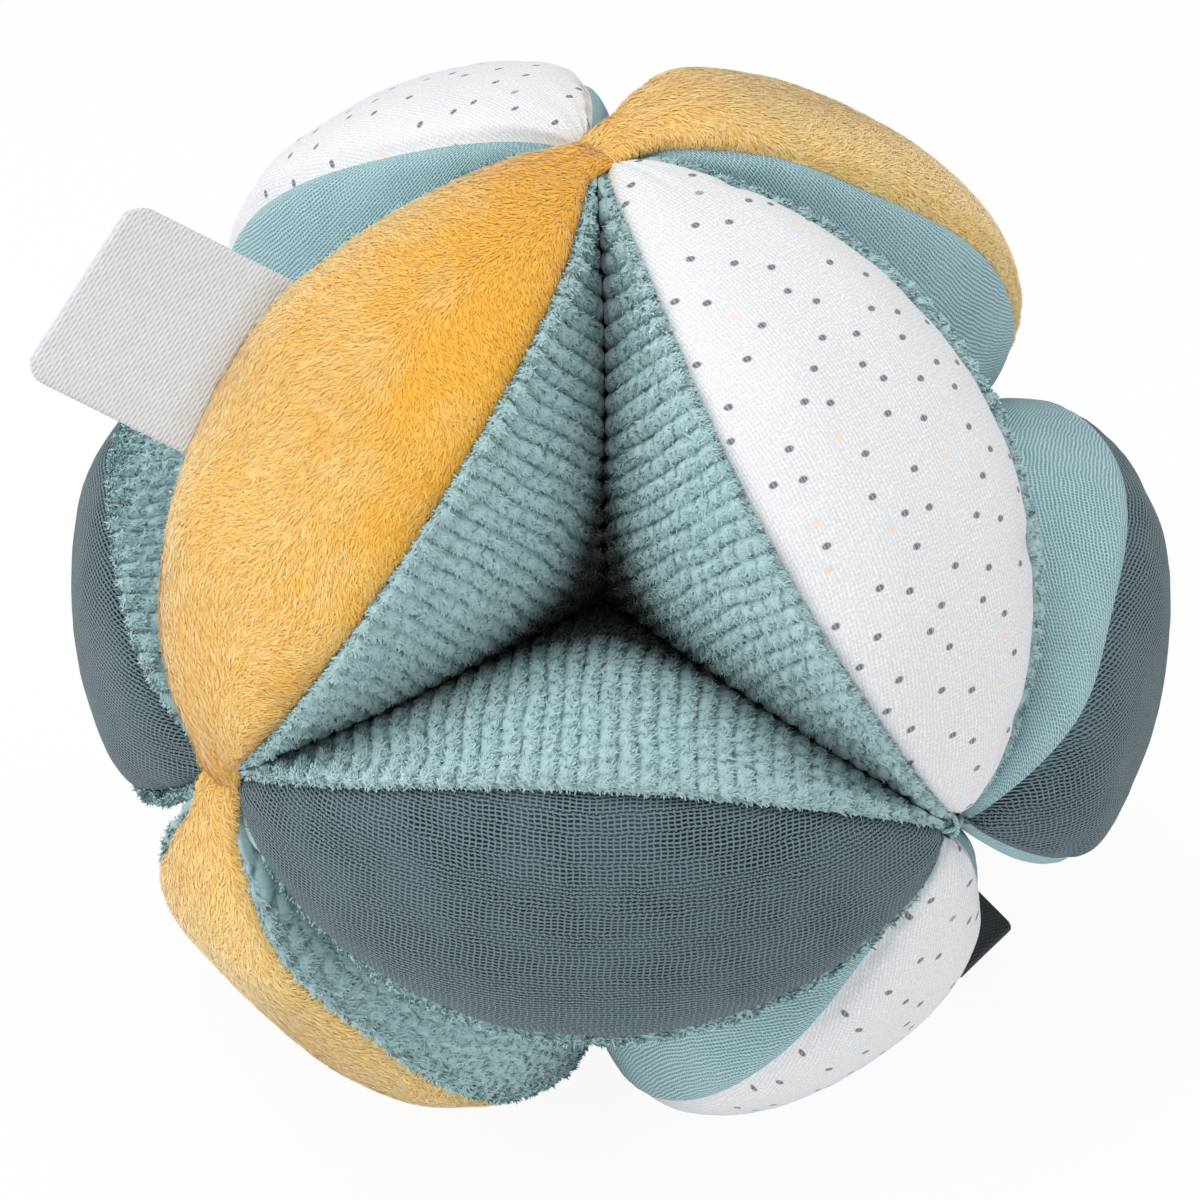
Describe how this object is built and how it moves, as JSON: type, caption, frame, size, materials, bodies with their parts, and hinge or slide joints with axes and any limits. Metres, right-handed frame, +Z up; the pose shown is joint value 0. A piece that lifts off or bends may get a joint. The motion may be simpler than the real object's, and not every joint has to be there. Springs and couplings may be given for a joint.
{
  "type": "soft activity ball",
  "caption": "Sewn and stuffed baby ball of segment-shaped pods tacked tip to tip, with finger pockets between them, a folded woven label and a small tag.",
  "frame": {"origin": "on the standing plane, below the middle of the ball", "axes": "+Z up through the top corner of the ball, +Y from the front pod to the back pod, +X from the left pod to the right pod"},
  "size_m": [0.13, 0.13, 0.1208],
  "materials": {
    "ochre_plush": "short soft pile plush, matt",
    "white_muslin": "white double muslin with small grey printed dots, matt",
    "slate_muslin": "slate blue double muslin, open weave, matt",
    "teal_chenille": "grey teal ribbed chenille, matt",
    "teal_muslin": "light teal double muslin, open weave, matt",
    "fibre_filling": "loose white polyester fibre",
    "thread": "sewing thread",
    "white_ribbon": "plain woven ribbon, twill, slight sheen",
    "black_ribbon": "plain black satin ribbon"
  },
  "bodies": {
    "ball": {"upper_front_left_outer_panel": "ochre_plush", "upper_front_left_side_panel": "teal_chenille", "upper_front_left_filling": "fibre_filling", "lower_front_left_outer_panel": "ochre_plush", "lower_front_left_side_panel": "teal_chenille", "lower_front_left_filling": "fibre_filling", "lower_back_right_outer_panel": "ochre_plush", "lower_back_right_side_panel": "teal_muslin", "lower_back_right_filling": "fibre_filling", "upper_back_right_outer_panel": "ochre_plush", "upper_back_right_side_panel": "teal_muslin", "upper_back_right_filling": "fibre_filling", "upper_front_right_outer_panel": "white_muslin", "upper_front_right_side_panel": "teal_chenille", "upper_front_right_filling": "fibre_filling", "lower_front_right_outer_panel": "white_muslin", "lower_front_right_side_panel": "teal_muslin", "lower_front_right_filling": "fibre_filling", "lower_back_left_outer_panel": "white_muslin", "lower_back_left_side_panel": "teal_chenille", "lower_back_left_filling": "fibre_filling", "upper_back_left_outer_panel": "white_muslin", "upper_back_left_side_panel": "teal_muslin", "upper_back_left_filling": "fibre_filling", "front_outer_panel": "slate_muslin", "front_side_panel": "teal_chenille", "front_filling": "fibre_filling", "right_outer_panel": "slate_muslin", "right_side_panel": "teal_muslin", "right_filling": "fibre_filling", "back_outer_panel": "slate_muslin", "back_side_panel": "teal_muslin", "back_filling": "fibre_filling", "left_outer_panel": "slate_muslin", "left_side_panel": "teal_chenille", "left_filling": "fibre_filling", "top_tack": "thread", "bottom_tack": "thread", "front_left_tack": "thread", "front_right_tack": "thread", "back_left_tack": "thread", "back_right_tack": "thread"},
    "label": {"woven_label": "white_ribbon"},
    "tag": {"care_tag": "black_ribbon"}
  },
  "joints": [
    {"name": "label_fold", "type": "hinge", "parent": "ball", "child": "label", "pos_m": [-0.04237, -0.01662, 0.10257], "axis": [-0.5097, -0.4977, -0.7017], "range_deg": [-60, 80], "stiffness_Nm_per_rad": 0.0002},
    {"name": "tag_fold", "type": "hinge", "parent": "ball", "child": "tag", "pos_m": [0.03641, 0.01178, 0.01138], "axis": [-0.6795, -0.445, -0.5833], "range_deg": [-90, 60], "stiffness_Nm_per_rad": 0.0001}
  ]
}
